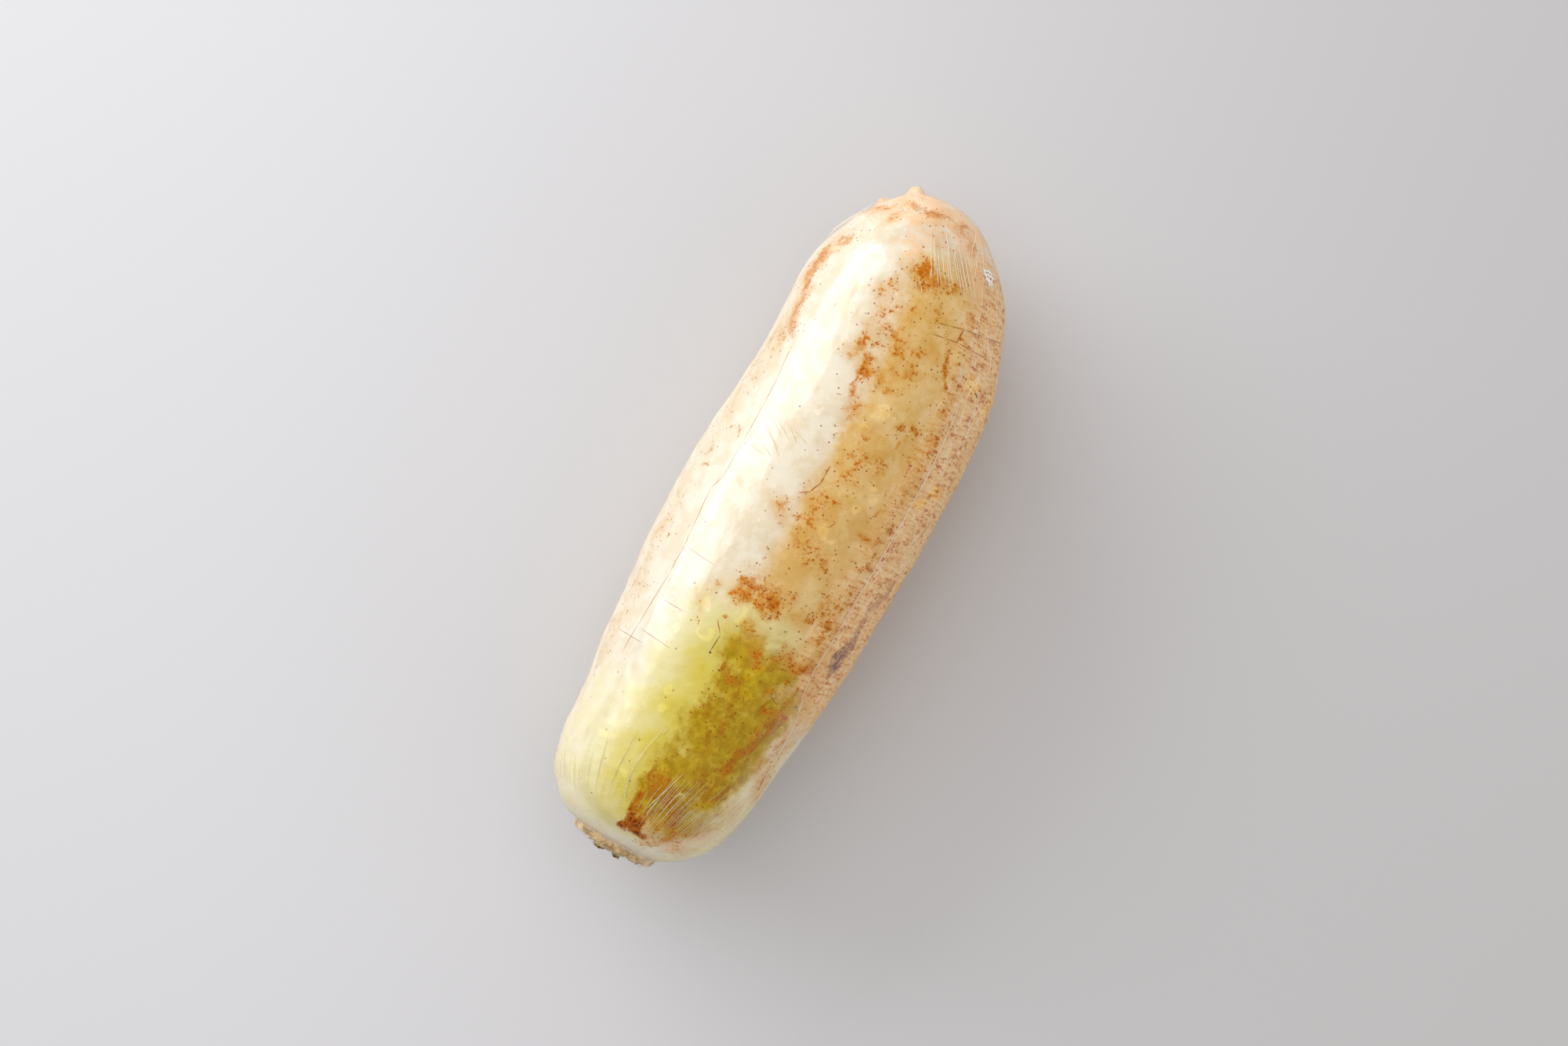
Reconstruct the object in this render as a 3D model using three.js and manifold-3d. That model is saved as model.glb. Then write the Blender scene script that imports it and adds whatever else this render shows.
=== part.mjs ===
// A daikon radish in clear shrink film, lying on its side. Millimetres, +Z up.
// +X runs along the root from the cut crown to the tip. The origin is the middle of the whole part's
// footprint, on the surface that it lies on.
//
// Two pieces: the root, which is one grown body with its cut leaf stalks and root nubs, and the film,
// a bag shrunk tight round it that is open over the cut stalks.

import * as THREE from "three";
import { mergeVertices } from "three/addons/utils/BufferGeometryUtils.js";
import Module from "manifold-3d";

const wasm = await Module();
wasm.setup();

const degrees = THREE.MathUtils.degToRad;

// ---- driving dimensions -------------------------------------------------------------------------

const FILM_THICKNESS = 0.6; // far thicker than real film, so that it is a solid
const FILM_GAP = 0.4; // between skin and film
const GIRTH_RADIUS = 45.3; // of the skin at its widest
const FLAT_DEPTH = 1.2; // how far the underside is pressed flat where it rests
const AXIS_HEIGHT = FILM_THICKNESS + FILM_GAP + GIRTH_RADIUS - FLAT_DEPTH;

const COLUMNS = 56; // facets round the girth
const ROWS_PER_STRETCH = 2; // rings of facets between two points of the outline

// The skin's outline from shoulder to tip: distance along the root, and radius there.
const BODY_OUTLINE = [
  [7.4, 18.4],
  [9.5, 22.8],
  [13.5, 27.7],
  [20, 32.2],
  [30.8, 35.8],
  [52, 38.9],
  [82, 42.1],
  [117, 44.7],
  [152, GIRTH_RADIUS],
  [189, 44.1],
  [218, 41.8],
  [238, 36.6],
  [249, 30.2],
  [258, 22.8],
  [264, 16.4],
  [267.6, 9.8],
  [269.2, 0],
];

// The root's slightly bent middle line: distance along, sideways, and up from the axis height.
const MIDDLE_LINE = [
  [0, 9.8, 2.4],
  [4, 9.8, 2.3],
  [10, 7.8, 2.1],
  [30, 7.1, 1.6],
  [65, 3.8, 0.6],
  [130, -0.3, 0],
  [195, -5.2, 0],
  [240, -2.6, 1.0],
  [262, -1.6, 2.0],
  [269.2, -0.6, 2.6],
];

// The stub where the leaves were cut off, and how far the cut leans towards -Y.
const STUB_FACE = 4.0;
const STUB_RADIUS = 16.2;
const STUB_CHAMFER = 0.8;
const CROWN_LEAN = Math.tan(degrees(5.2));
const LEAN_FULL_TO = 4; // the lean fades out between these two distances along
const LEAN_GONE_AT = 11;

// Cut leaf stalks on the stub, youngest in the middle, a golden angle apart.
const STALKS = 13;
const STALK_SPACING = 3.75;
const GOLDEN_ANGLE = degrees(137.5);
const STALK_SINK = 3.4; // how far a stalk's base lies inside the stub
const STALK_HEIGHTS = [2.6, 3.2, 1.9, 2.8, 1.6, 1.2, 1.0, 1.1, 0.8, 1.0, 0.7, 0.9, 0.7];

// Stumps of the tail root and of a side root at the tip: sideways and up from the middle line.
const NUBS = [
  { along: 265.8, side: 11.4, up: 3.0, radius: 3.6, length: 2.8 },
  { along: 257.8, side: 21.6, up: 1.5, radius: 2.6, length: 1.6 },
];

const TENT_REACH = 9; // how far round a nub the film stands off the skin

// Shallow hollows in the skin, which the tight film bridges.
// The angle is round the root, from +Y over the top.
const DENTS = [
  { along: 199, angle: 8, depth: 1.4, length: 20, spread: 32 },
  { along: 243, angle: 12, depth: 1.8, length: 9, spread: 30 },
  { along: 62, angle: 172, depth: 1.3, length: 18, spread: 26 },
  { along: 128, angle: 214, depth: 1.6, length: 30, spread: 24 },
  { along: 170, angle: 318, depth: 1.8, length: 26, spread: 26 },
  { along: 226, angle: 196, depth: 1.4, length: 13, spread: 24 },
];

// The inside of the film at the crown, from the edge of its opening over the stub to the shoulder.
const FILM_CROWN = [
  [2.2, 11.2],
  [2.3, 13.8],
  [2.9, 16.4],
  [5.2, 17.8],
  [9.0, 23.4],
];
const FILM_MEETS_BODY = 12.5;

const PLEAT_HEIGHT = 0.45;
const CROWN_PLEATS_END = 34; // pleats fade out from the ends of the bag towards its middle
const TIP_PLEATS_START = 238;

// The welded seam, a narrow ridge along the bag: distance along, and angle round the root.
const SEAM_HEIGHT = 0.9;
const SEAM_LINE = [
  [0, 176],
  [20, 172],
  [38, 164],
  [55, 152],
  [72, 147],
  [81, 141],
  [91, 136.5],
  [105, 135.5],
  [240, 134],
  [269, 132],
];
const SEAM_HALF_WIDTH = degrees(1.6); // the two columns beside the seam are drawn in to this

// ---- the shape of the root ----------------------------------------------------------------------

/** The height at x of a smooth line through points of the form [x, height, ...]. */
function lineAt(points, x, item = 1) {
  const last = points.length - 1;
  const i = THREE.MathUtils.clamp(
    points.findIndex((p) => p[0] > x) - 1,
    0,
    last - 1,
  );
  const at = x >= points[last][0] ? last - 1 : i;
  const slope = (k) => {
    const a = points[Math.max(k - 1, 0)];
    const b = points[Math.min(k + 1, last)];
    return (b[item] - a[item]) / (b[0] - a[0]);
  };
  const [p, q] = [points[at], points[at + 1]];
  const width = q[0] - p[0];
  const t = THREE.MathUtils.clamp((x - p[0]) / width, 0, 1);
  const rise = t * t * (3 - 2 * t);
  return (
    p[item] * (1 - rise) +
    q[item] * rise +
    width * slope(at) * t * (1 - t) * (1 - t) -
    width * slope(at + 1) * t * t * (1 - t)
  );
}

/** The angle from a to b, from -PI to PI. */
function turnBetween(a, b) {
  return Math.atan2(Math.sin(b - a), Math.cos(b - a));
}

/** How far the root's section is from round, as a share of its radius. */
function lobes(x, angle) {
  return 0.008 * Math.sin(2 * angle + x / 40) + 0.006 * Math.sin(3 * angle - x / 30);
}

/** The depth of the hollows at one place on the skin. */
function dentDepth(x, angle) {
  return DENTS.reduce((sum, d) => {
    const along = (x - d.along) / d.length;
    const round = turnBetween(degrees(d.angle), angle) / degrees(d.spread);
    return sum + d.depth * Math.exp(-along * along - round * round);
  }, 0);
}

/** The point of the part at a distance along, a radius and an angle, no lower than lowest. */
function pointAt(x, radius, angle, lowest) {
  const round = radius * (1 + lobes(x, angle));
  const y = round * Math.cos(angle);
  const lean = 1 - THREE.MathUtils.smoothstep(x, LEAN_FULL_TO, LEAN_GONE_AT);
  return new THREE.Vector3(
    x + CROWN_LEAN * lean * y,
    y + lineAt(MIDDLE_LINE, x, 1),
    Math.max(round * Math.sin(angle) + lineAt(MIDDLE_LINE, x, 2) + AXIS_HEIGHT, lowest),
  );
}

/** A lathe of [x, radius] points about X, each vertex then placed by place(x, radius, angle, row, column). */
function bentLathe(profile, columns, place) {
  const points = profile.map(([x, radius]) => new THREE.Vector2(radius, x));
  const geometry = new THREE.LatheGeometry(points, columns);
  const position = geometry.getAttribute("position");
  for (let column = 0; column <= columns; column++) {
    const angle = (2 * Math.PI * (column % columns)) / columns;
    profile.forEach(([x, radius], row) => {
      const p = place(x, radius, angle, row, column % columns);
      position.setXYZ(column * profile.length + row, p.x, p.y, p.z);
    });
  }
  return geometry;
}

const bodyCurve = new THREE.CatmullRomCurve3(
  BODY_OUTLINE.map(([x, radius]) => new THREE.Vector3(x, radius, 0)),
  false,
  "centripetal",
);
const bodyRows = (BODY_OUTLINE.length - 1) * ROWS_PER_STRETCH;
const bodyProfile = bodyCurve.getPoints(bodyRows).map((p) => [p.x, p.y > 1e-6 ? p.y : 0]);

/** A profile moved outwards by a distance, square to itself. */
function outset(profile, distance) {
  return profile.map(([x, radius], i) => {
    const before = profile[Math.max(i - 1, 0)];
    const after = profile[Math.min(i + 1, profile.length - 1)];
    const along = new THREE.Vector2(after[0] - before[0], after[1] - before[1]).normalize();
    return radius === 0 ? [x + distance, 0] : [x - along.y * distance, radius + along.x * distance];
  });
}

// ---- booleans -----------------------------------------------------------------------------------

function toSolid(geometry) {
  const bare = geometry.clone();
  bare.deleteAttribute("normal");
  bare.deleteAttribute("uv");
  const merged = mergeVertices(bare, 1e-3);
  return new wasm.Manifold(
    new wasm.Mesh({
      numProp: 3,
      vertProperties: merged.getAttribute("position").array,
      triVerts: new Uint32Array(merged.getIndex().array),
    }),
  );
}

function toGeometry(solid) {
  const mesh = solid.getMesh();
  const geometry = new THREE.BufferGeometry();
  geometry.setAttribute("position", new THREE.BufferAttribute(mesh.vertProperties, 3));
  geometry.setIndex(new THREE.BufferAttribute(mesh.triVerts, 1));
  geometry.computeVertexNormals();
  return geometry;
}

// ---- the root -----------------------------------------------------------------------------------

/** The skin and the bare stub, as one closed lathe from the cut face to the tip. */
function rootBody() {
  const stub = [
    [STUB_FACE, 0],
    [STUB_FACE, STUB_RADIUS * 0.5],
    [STUB_FACE, STUB_RADIUS - STUB_CHAMFER],
    [STUB_FACE + STUB_CHAMFER, STUB_RADIUS],
    [BODY_OUTLINE[0][0], STUB_RADIUS + 0.6],
  ];
  const lowest = FILM_THICKNESS + FILM_GAP;
  return bentLathe([...stub, ...bodyProfile], COLUMNS, (x, radius, angle) => {
    const hollow = dentDepth(x, angle) * Math.min(1, radius / GIRTH_RADIUS);
    return pointAt(x, radius - hollow, angle, lowest);
  });
}

/** One cut leaf stalk: a crescent that bends round the middle of the stub. */
function stalk(index) {
  const distance = STALK_SPACING * Math.sqrt(index + 0.55);
  const halfWidth = 1.5 + 0.4 * distance;
  const thickness = 1.9 + 0.14 * distance;
  const turn = index * GOLDEN_ANGLE;
  const outer = new THREE.Vector2(distance + thickness * 0.5, 0);
  const inner = new THREE.Vector2(distance - thickness * 0.35, 0);
  const shape = new THREE.Shape();
  shape.moveTo(distance - halfWidth * 0.3, -halfWidth);
  shape.quadraticCurveTo(outer.x + thickness * 0.35, -halfWidth * 0.55, outer.x, 0);
  shape.quadraticCurveTo(outer.x + thickness * 0.35, halfWidth * 0.55, distance - halfWidth * 0.3, halfWidth);
  shape.quadraticCurveTo(inner.x + thickness * 0.2, 0, distance - halfWidth * 0.3, -halfWidth);
  const height = STALK_HEIGHTS[index];
  const geometry = new THREE.ExtrudeGeometry(shape, {
    depth: STALK_SINK + height,
    bevelEnabled: false,
    curveSegments: 4,
  });
  // The shape's plane becomes the stub's face, and its depth runs out of the crown.
  const position = geometry.getAttribute("position");
  for (let i = 0; i < position.count; i++) {
    const [a, b] = [position.getX(i), position.getY(i)];
    const x = STUB_FACE + STALK_SINK - position.getZ(i);
    const p = pointAt(x, Math.hypot(a, b), turn - Math.atan2(b, a), 0);
    position.setXYZ(i, p.x, p.y, p.z);
  }
  return geometry;
}

/** Where a nub stands on the skin. */
function nubFoot(along, side, up) {
  const [y, z] = [lineAt(MIDDLE_LINE, along, 1), lineAt(MIDDLE_LINE, along, 2)];
  return new THREE.Vector3(along, y + side, z + up + AXIS_HEIGHT);
}

/** Which way a nub points. */
function nubDirection(side, up) {
  return new THREE.Vector3(1, side / 40, up / 40).normalize();
}

/** The stump of a root that broke off, as a low blunt dome sunk into the tip. */
function nub({ along, side, up, radius, length }) {
  const sunk = 3;
  const profile = [
    [-sunk, 0],
    [-sunk, radius * 1.2],
    [0, radius * 1.1],
    [length * 0.7, radius * 0.72],
    [length, radius * 0.4],
    [length, 0],
  ];
  const geometry = new THREE.LatheGeometry(
    profile.map(([x, r]) => new THREE.Vector2(r, x)),
    10,
  );
  const [up_axis, outwards] = [new THREE.Vector3(0, 1, 0), nubDirection(side, up)];
  geometry.applyQuaternion(new THREE.Quaternion().setFromUnitVectors(up_axis, outwards));
  const foot = nubFoot(along, side, up);
  return geometry.translate(foot.x, foot.y, foot.z);
}

function rootGeometry() {
  let solid = toSolid(rootBody());
  for (let i = 0; i < STALKS; i++) solid = solid.add(toSolid(stalk(i)));
  for (const n of NUBS) solid = solid.add(toSolid(nub(n)));
  return toGeometry(solid);
}

// ---- the film -----------------------------------------------------------------------------------

/** Lifts the film over the nubs at the tip, like a tent on its poles. */
function liftOverNubs(p) {
  for (const { along, side, up, length } of NUBS) {
    const foot = nubFoot(along, side, up);
    const outwards = nubDirection(side, up);
    const fromFoot = p.clone().sub(foot);
    const fromAxis = fromFoot.clone().addScaledVector(outwards, -fromFoot.dot(outwards)).length();
    const isAtTip = fromFoot.dot(outwards) > -TENT_REACH;
    if (isAtTip) p.addScaledVector(outwards, (length + 0.5) * Math.max(0, 1 - fromAxis / TENT_REACH));
  }
  return p;
}

/** Draws the columns on both sides of the seam close to it, and spreads the others evenly. */
function seamAngle(x, column) {
  const step = (2 * Math.PI) / COLUMNS;
  const offset = column <= COLUMNS / 2 ? column : column - COLUMNS;
  const beside = Math.sign(offset) * SEAM_HALF_WIDTH;
  const spread = (Math.PI - SEAM_HALF_WIDTH) / (Math.PI - step);
  const turn = offset === 0 ? 0 : beside + (offset * step - Math.sign(offset) * step) * spread;
  return degrees(lineAt(SEAM_LINE, x)) + turn;
}

/** How strongly the film is pleated at x, from 1 at the ends of the bag to 0 along its middle. */
function pleating(x) {
  const crown = 1 - THREE.MathUtils.smoothstep(x, 4, CROWN_PLEATS_END);
  const tip = THREE.MathUtils.smoothstep(x, TIP_PLEATS_START, 262);
  return Math.max(crown, tip);
}

function filmGeometry() {
  const body = outset(bodyProfile, FILM_GAP).filter(([x]) => x > FILM_MEETS_BODY);
  const inside = [...FILM_CROWN, ...body];
  const outside = outset(inside, FILM_THICKNESS);
  outside[0] = [inside[0][0] - FILM_THICKNESS, inside[0][1]];
  const profile = [...[...inside].reverse(), ...outside];
  return bentLathe(profile, COLUMNS, (x, radius, _, row, column) => {
    const isOutside = row >= inside.length;
    const angle = seamAngle(x, column);
    const isSeam = isOutside && column === 0 && radius > 0 && x > FILM_CROWN[3][0];
    const isPleat = column % 2 === 1 && radius > 0;
    const raised = (isSeam ? SEAM_HEIGHT : 0) + (isPleat ? PLEAT_HEIGHT * pleating(x) : 0);
    const p = pointAt(x, radius + raised, angle, isOutside ? 0 : FILM_THICKNESS);
    return liftOverNubs(p);
  });
}

// ---- the part -----------------------------------------------------------------------------------

const skin = new THREE.MeshStandardMaterial({
  name: "daikon_skin",
  color: new THREE.Color(0.88, 0.79, 0.56),
  roughness: 0.5,
  metalness: 0,
});
const clearFilm = new THREE.MeshStandardMaterial({
  name: "clear_film",
  color: new THREE.Color(0.96, 0.96, 0.97),
  roughness: 0.12,
  metalness: 0,
  transparent: true,
  opacity: 0.25,
});

const root = new THREE.Mesh(rootGeometry(), skin);
root.name = "daikon_root";
const film = new THREE.Mesh(filmGeometry(), clearFilm);
film.name = "shrink_film";

const daikon = new THREE.Group();
daikon.add(root, film);

// The origin goes to the middle of the footprint.
const middle = new THREE.Box3().setFromObject(daikon).getCenter(new THREE.Vector3());
for (const piece of daikon.children) piece.position.set(-middle.x, -middle.y, 0);

export default daikon;
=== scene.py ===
"""A daikon radish in clear shrink film: its looks, the light and the camera.

Lengths are in millimetres until a mesh is made. "Along" is the distance from the crown end, and
"round" the distance from the top towards +Y, measured at the radius ROUND_RADIUS."""

import math

import bpy
import numpy as np
from mathutils import Matrix, Vector


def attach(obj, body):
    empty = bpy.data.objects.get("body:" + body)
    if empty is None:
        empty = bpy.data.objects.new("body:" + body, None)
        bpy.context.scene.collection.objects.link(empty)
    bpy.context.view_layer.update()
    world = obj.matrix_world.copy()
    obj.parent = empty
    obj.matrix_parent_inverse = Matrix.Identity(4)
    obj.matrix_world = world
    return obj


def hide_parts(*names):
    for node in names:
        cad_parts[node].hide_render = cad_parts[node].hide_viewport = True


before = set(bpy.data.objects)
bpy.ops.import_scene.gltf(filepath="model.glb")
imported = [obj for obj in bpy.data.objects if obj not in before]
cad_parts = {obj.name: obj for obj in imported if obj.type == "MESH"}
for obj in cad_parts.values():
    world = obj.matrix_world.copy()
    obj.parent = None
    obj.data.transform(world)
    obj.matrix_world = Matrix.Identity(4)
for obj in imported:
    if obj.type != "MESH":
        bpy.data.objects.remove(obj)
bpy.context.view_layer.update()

MM = 0.001
RIPPLE_WAVES = 18

# ---- the shape shared with the solids --------------------------------------------------------------

GIRTH_RADIUS = 45.3
AXIS_HEIGHT = 1.0 + GIRTH_RADIUS - 1.2
BODY_OUTLINE = [
    (7.4, 18.4),
    (9.5, 22.8),
    (13.5, 27.7),
    (20, 32.2),
    (30.8, 35.8),
    (52, 38.9),
    (82, 42.1),
    (117, 44.7),
    (152, GIRTH_RADIUS),
    (189, 44.1),
    (218, 41.8),
    (238, 36.6),
    (249, 30.2),
    (258, 22.8),
    (264, 16.4),
    (267.6, 9.8),
    (269.2, 0),
]
MIDDLE_LINE = [
    (0, 9.8, 2.4),
    (4, 9.8, 2.3),
    (10, 7.8, 2.1),
    (30, 7.1, 1.6),
    (65, 3.8, 0.6),
    (130, -0.3, 0),
    (195, -5.2, 0),
    (240, -2.6, 1.0),
    (262, -1.6, 2.0),
    (269.2, -0.6, 2.6),
]
STUB_FACE = 4.0
STUB_RADIUS = 16.2
STUB_CHAMFER = 0.8
CROWN_LEAN = math.tan(math.radians(5.2))
LEAN_FULL_TO = 4
LEAN_GONE_AT = 11
STALK_SPACING = 3.75
GOLDEN_ANGLE = math.radians(137.5)
STALK_HEIGHTS = [2.6, 3.2, 1.9, 2.8, 1.6, 1.2, 1.0, 1.1, 0.8, 1.0, 0.7, 0.9, 0.7]
# along, side, up, radius, length
NUBS = [(265.8, 11.4, 3.0, 3.6, 2.8), (257.8, 21.6, 1.5, 2.6, 1.6)]
TENT_REACH = 9
# along, angle, depth, length, spread
DENTS = [
    (199, 8, 1.4, 20, 32),
    (243, 12, 1.8, 9, 30),
    (62, 172, 1.3, 18, 26),
    (128, 214, 1.6, 30, 24),
    (170, 318, 1.8, 26, 26),
    (226, 196, 1.4, 13, 24),
]
# In the picture the root leans clockwise from upright.
LEAN = math.radians(25.2)
# How far the skin and the film lie outside the outline, and the film over the stub.
SKIN_OUT = 0.3
FILM_OUT = 0.6
COLLAR = [(3.4, 11.6), (3.35, 14.0), (3.6, 15.7), (4.6, 16.7), (6.4, 17.2), (7.7, 19.6), (9.0, 22.9)]
COLLAR_MEETS_BODY = 11
SEAM_LINE = [
    (0, 176),
    (20, 172),
    (38, 164),
    (55, 152),
    (72, 147),
    (81, 141),
    (91, 136.5),
    (105, 135.5),
    (240, 134),
    (269, 132),
]


def line_at(points, x, item=1):
    """The heights at x of a smooth line through points (x, height, ...)."""
    knots = np.array([p[0] for p in points], float)
    heights = np.array([p[item] for p in points], float)
    slopes = np.empty_like(knots)
    slopes[1:-1] = (heights[2:] - heights[:-2]) / (knots[2:] - knots[:-2])
    slopes[0] = (heights[1] - heights[0]) / (knots[1] - knots[0])
    slopes[-1] = (heights[-1] - heights[-2]) / (knots[-1] - knots[-2])
    i = np.clip(np.searchsorted(knots, x, side="right") - 1, 0, len(knots) - 2)
    width = knots[i + 1] - knots[i]
    t = np.clip((x - knots[i]) / width, 0, 1)
    rise = t * t * (3 - 2 * t)
    bend = slopes[i] * t * (1 - t) ** 2 - slopes[i + 1] * t * t * (1 - t)
    return heights[i] * (1 - rise) + heights[i + 1] * rise + width * bend


def smoothstep(value, low, high):
    t = np.clip((value - low) / (high - low), 0, 1)
    return t * t * (3 - 2 * t)


def turn_between(a, b):
    return np.arctan2(np.sin(b - a), np.cos(b - a))


def smooth_curve(points, steps):
    """Points along a centripetal Catmull-Rom curve, steps to each stretch."""
    p = np.array(points, float)
    p = np.vstack([2 * p[0] - p[1], p, 2 * p[-1] - p[-2]])
    out = []
    t = np.linspace(0, 1, steps, endpoint=False)[:, None]
    for a, b, c, d in zip(p, p[1:], p[2:], p[3:]):
        ab, bc, cd = (np.sqrt(np.linalg.norm(v - u)) for u, v in ((a, b), (b, c), (c, d)))
        start = bc * ((b - a) / ab - (c - a) / (ab + bc) + (c - b) / bc)
        end = bc * ((c - b) / bc - (d - b) / (bc + cd) + (d - c) / cd)
        out.append(
            b
            + start * t
            + (-3 * b + 3 * c - 2 * start - end) * t**2
            + (2 * b - 2 * c + start + end) * t**3
        )
    return np.vstack([*out, p[-2][None]])


def respaced(curve, spacing):
    """The curve with new points, spacing(x) apart along it."""
    steps = np.linalg.norm(np.diff(curve, axis=0), axis=1)
    middles = (curve[1:, 0] + curve[:-1, 0]) / 2
    count = np.concatenate([[0], np.cumsum(steps / spacing(middles))])
    at = np.linspace(0, count[-1], round(count[-1]) + 1)
    return np.stack([np.interp(at, count, curve[:, 0]), np.interp(at, count, curve[:, 1])], axis=1)


def outset(profile, distance):
    """A profile moved outwards, square to itself."""
    along = np.gradient(profile, axis=0)
    along /= np.linalg.norm(along, axis=1)[:, None]
    moved = profile + distance * np.stack([-along[:, 1], along[:, 0]], axis=1)
    moved[-1] = profile[-1] + [distance, 0]
    return moved


def lobes(x, angle):
    return 0.008 * np.sin(2 * angle + x / 40) + 0.006 * np.sin(3 * angle - x / 30)


def dent_depth(x, angle):
    depth = 0
    for along, at, deep, length, spread in DENTS:
        round_it = turn_between(math.radians(at), angle) / math.radians(spread)
        depth = depth + deep * np.exp(-(((x - along) / length) ** 2) - round_it**2)
    return depth


def point_at(x, radius, angle, lowest):
    """Points of the part at distances along it, radii and angles, no lower than lowest."""
    wide = radius * (1 + lobes(x, angle))
    y = wide * np.cos(angle)
    lean = 1 - smoothstep(x, LEAN_FULL_TO, LEAN_GONE_AT)
    z = wide * np.sin(angle) + line_at(MIDDLE_LINE, x, 2) + AXIS_HEIGHT
    return np.stack(
        [x + CROWN_LEAN * lean * y, y + line_at(MIDDLE_LINE, x, 1), np.maximum(z, lowest)], axis=-1
    )


def ripple(points, wavelength, seed):
    """Smooth noise of about unit size: plane waves of nearly one wavelength, in random directions."""
    rng = np.random.default_rng(seed)
    directions = rng.normal(size=(RIPPLE_WAVES, 3))
    directions /= np.linalg.norm(directions, axis=1)[:, None]
    counts = 2 * math.pi / wavelength * rng.uniform(0.7, 1.4, RIPPLE_WAVES)
    phases = rng.uniform(0, 2 * math.pi, RIPPLE_WAVES)
    total = np.zeros(points.shape[:-1])
    for direction, count, phase in zip(directions, counts, phases):
        total += np.cos(points @ (direction * count) + phase)
    return total * math.sqrt(2 / RIPPLE_WAVES)


body_curve = smooth_curve(BODY_OUTLINE, 24)
body_curve[-1] = BODY_OUTLINE[-1]
ROUND_RADIUS = 46

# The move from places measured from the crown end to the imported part's frame, centred on its box.
SHIFT = np.array([-135.733, 1.622, 0.0])


# ---- meshes ----------------------------------------------------------------------------------------


def tube_mesh(name, points, closed_start, closed_end, angles):
    """A mesh of rings of points. A closed end has all of its first or last ring in one place.
    The UV map is unrolled, in units of 100 mm: along the part, and round it from the top."""
    rows, columns = points.shape[:2]
    first = 1 if closed_start else 0
    last = rows - 1 if closed_end else rows
    vertices = points[first:last].reshape(-1, 3)
    ring = np.arange(columns)
    after = np.roll(ring, -1)
    faces = []
    uvs = []
    turned = turn_between(angles, math.pi / 2) * ROUND_RADIUS / 100
    stepped = turn_between(np.roll(angles, -1, axis=1), angles) * ROUND_RADIUS / 100
    along = points[..., 0].mean(axis=1) / 100

    def corner(row, column, is_next):
        return (along[row], turned[row, column] + (stepped[row, column] if is_next else 0))

    for row in range(first, last - 1):
        base = (row - first) * columns
        for c, n in zip(ring, after):
            faces.append((base + c, base + columns + c, base + columns + n, base + n))
            here = [corner(row, c, False), corner(row + 1, c, False)]
            uvs += [*here, corner(row + 1, c, True), corner(row, c, True)]
    if closed_start:
        centre = len(vertices)
        vertices = np.vstack([vertices, points[0, :1]])
        for c, n in zip(ring, after):
            faces.append((centre, c, n))
            uvs += [corner(0, c, False), corner(1, c, False), corner(1, c, True)]
    if closed_end:
        centre = len(vertices)
        base = (last - 1 - first) * columns
        vertices = np.vstack([vertices, points[-1, :1]])
        for c, n in zip(ring, after):
            faces.append((centre, base + n, base + c))
            uvs += [corner(last, c, False), corner(last - 1, c, True), corner(last - 1, c, False)]
    mesh = bpy.data.meshes.new(name)
    mesh.from_pydata(((vertices + SHIFT) * MM).tolist(), [], faces)
    layer = mesh.uv_layers.new(name="unrolled")
    layer.data.foreach_set("uv", np.array(uvs, float).ravel())
    mesh.shade_smooth()
    obj = bpy.data.objects.new(name, mesh)
    bpy.context.scene.collection.objects.link(obj)
    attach(obj, "root")
    return obj


def per_vertex(values, closed_start, closed_end):
    """One value for each vertex of a tube_mesh, from one for each of its points."""
    rows = values[1 if closed_start else 0 : -1 if closed_end else None]
    ends = ([values[0, :1]] if closed_start else []) + ([values[-1, :1]] if closed_end else [])
    return np.concatenate([rows.ravel(), *ends])


def add_attribute(obj, name, values):
    attribute = obj.data.attributes.new(name, "FLOAT", "POINT")
    attribute.data.foreach_set("value", values.astype(np.float32))


def on_skin(along, round_it):
    """The points of the skin at distances along and round."""
    x = np.asarray(along, float)
    radius = np.interp(x, body_curve[:, 0], body_curve[:, 1])
    return point_at(x, radius, math.pi / 2 - np.asarray(round_it) / ROUND_RADIUS, 0.0)


def marks(points, table):
    """The strongest of some soft streaks at each point. A row is a streak's two ends, each along and
    round, its half width and its strength."""
    total = np.zeros(points.shape[:-1])
    for *ends, width, strength in table:
        a, b = on_skin(ends[0::2], ends[1::2])
        ab = b - a
        share = np.clip((points - a) @ ab / max(ab @ ab, 1e-9), 0, 1)
        distance = np.linalg.norm(points - a - share[..., None] * ab, axis=-1)
        total = np.maximum(total, strength * np.exp(-((distance / width) ** 2.4)))
    return total


def strip_rings(surface, path, width, height):
    """The points of a thin strip: rings of six round a path on a surface, tapered at both ends.
    The path is a list of (along, round), and surface(x, lift, angle) gives the surface's points."""
    knots = np.array(path, float)
    count = np.concatenate([[0], np.cumsum(np.linalg.norm(np.diff(knots, axis=0), axis=1))])
    share = np.linspace(0, 1, max(5, int(count[-1] / 1.2) + 1))
    x = np.interp(share * count[-1], count, knots[:, 0])
    angle = math.pi / 2 - np.interp(share * count[-1], count, knots[:, 1]) / ROUND_RADIUS
    base = surface(x, 0, angle)
    outwards = surface(x, 1, angle) - base
    outwards /= np.linalg.norm(outwards, axis=1)[:, None]
    ahead = np.gradient(base, axis=0)
    side = np.cross(ahead, outwards)
    side /= np.linalg.norm(side, axis=1)[:, None]
    taper = np.sqrt(np.sin(np.clip(share, 0.02, 0.98) * math.pi))[:, None, None]
    ring = np.array([(-0.5, -0.2), (-0.25, 0.7), (0, 1), (0.25, 0.7), (0.5, -0.2), (0, -0.3)])
    across = ring[None, :, :1] * width * taper
    up = ring[None, :, 1:] * height * taper
    return base[:, None] + across * side[:, None] + up * outwards[:, None]


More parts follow.
